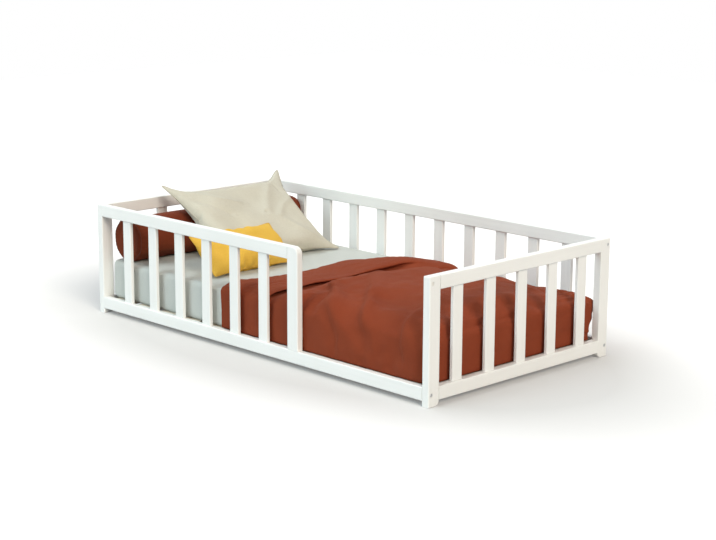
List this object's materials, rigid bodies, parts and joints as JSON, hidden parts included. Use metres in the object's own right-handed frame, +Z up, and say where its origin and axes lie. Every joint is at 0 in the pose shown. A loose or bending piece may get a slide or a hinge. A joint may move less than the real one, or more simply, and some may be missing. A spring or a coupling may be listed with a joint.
{
  "type": "toddler floor bed",
  "caption": "Low white wooden floor bed with slatted sides, a rounded half guard beside an open entry, slatted base and bedding.",
  "frame": {"origin": "on the floor, under the middle of the bed's outside length and width", "axes": "+X from the head panel to the foot panel, +Y from the open front side to the back side, +Z up"},
  "size_m": [1.46, 0.762, 0.3978],
  "materials": {
    "painted_wood": "satin",
    "bare_wood": "matte",
    "zinc_steel": "satin",
    "plug_plastic": "matte",
    "webbing": "matte",
    "mattress_cover": "matte",
    "sheet_cotton": "matte",
    "duvet_cotton": "matte",
    "bolster_cotton": "matte",
    "pillow_linen": "matte",
    "cushion_cotton": "matte"
  },
  "bodies": {
    "frame": {"head_front_post": "painted_wood", "head_back_post": "painted_wood", "head_bottom_rail": "painted_wood", "head_top_rail": "painted_wood", "head_slat_1": "painted_wood", "head_slat_2": "painted_wood", "head_slat_3": "painted_wood", "head_slat_4": "painted_wood", "head_slat_5": "painted_wood", "foot_front_post": "painted_wood", "foot_back_post": "painted_wood", "foot_bottom_rail": "painted_wood", "foot_top_rail": "painted_wood", "foot_slat_1": "painted_wood", "foot_slat_2": "painted_wood", "foot_slat_3": "painted_wood", "foot_slat_4": "painted_wood", "foot_slat_5": "painted_wood", "back_bottom_rail": "painted_wood", "back_top_rail": "painted_wood", "back_slat_1": "painted_wood", "back_slat_2": "painted_wood", "back_slat_3": "painted_wood", "back_slat_4": "painted_wood", "back_slat_5": "painted_wood", "back_slat_6": "painted_wood", "back_slat_7": "painted_wood", "back_slat_8": "painted_wood", "back_slat_9": "painted_wood", "back_slat_10": "painted_wood", "front_bottom_rail": "painted_wood", "guard_top_rail": "painted_wood", "guard_end_post": "painted_wood", "guard_slat_1": "painted_wood", "guard_slat_2": "painted_wood", "guard_slat_3": "painted_wood", "guard_slat_4": "painted_wood", "guard_slat_5": "painted_wood", "guard_slat_6": "painted_wood", "front_ledger": "bare_wood", "back_ledger": "bare_wood", "base_boards": "bare_wood", "corner_dowels": "bare_wood", "panel_dowels": "bare_wood", "corner_bolts": "zinc_steel", "barrel_nuts": "zinc_steel", "board_screws": "zinc_steel", "ledger_screws": "zinc_steel", "strap_staples": "zinc_steel", "blanking_plug": "plug_plastic", "webbing_straps": "webbing"},
    "mattress": {"mattress": "mattress_cover", "fitted_sheet": "sheet_cotton"},
    "duvet": {"duvet": "duvet_cotton"},
    "bolster": {"bolster": "bolster_cotton"},
    "pillow": {"pillow": "pillow_linen"},
    "small_cushion": {"small_cushion": "cushion_cotton"}
  },
  "joints": [
    {"name": "mattress_lift", "type": "slide", "parent": "frame", "child": "mattress", "axis": [0, 0, 1], "range_m": [0, 0.36]},
    {"name": "duvet_lift", "type": "slide", "parent": "mattress", "child": "duvet", "axis": [0, 0, 1], "range_m": [0, 0.33]},
    {"name": "bolster_lift", "type": "slide", "parent": "mattress", "child": "bolster", "axis": [0, 0, 1], "range_m": [0, 0.21]},
    {"name": "pillow_lift", "type": "slide", "parent": "bolster", "child": "pillow", "axis": [0, 0, 1], "range_m": [0, 0.22]},
    {"name": "small_cushion_lift", "type": "slide", "parent": "pillow", "child": "small_cushion", "axis": [0, 0, 1], "range_m": [0, 0.23]}
  ]
}
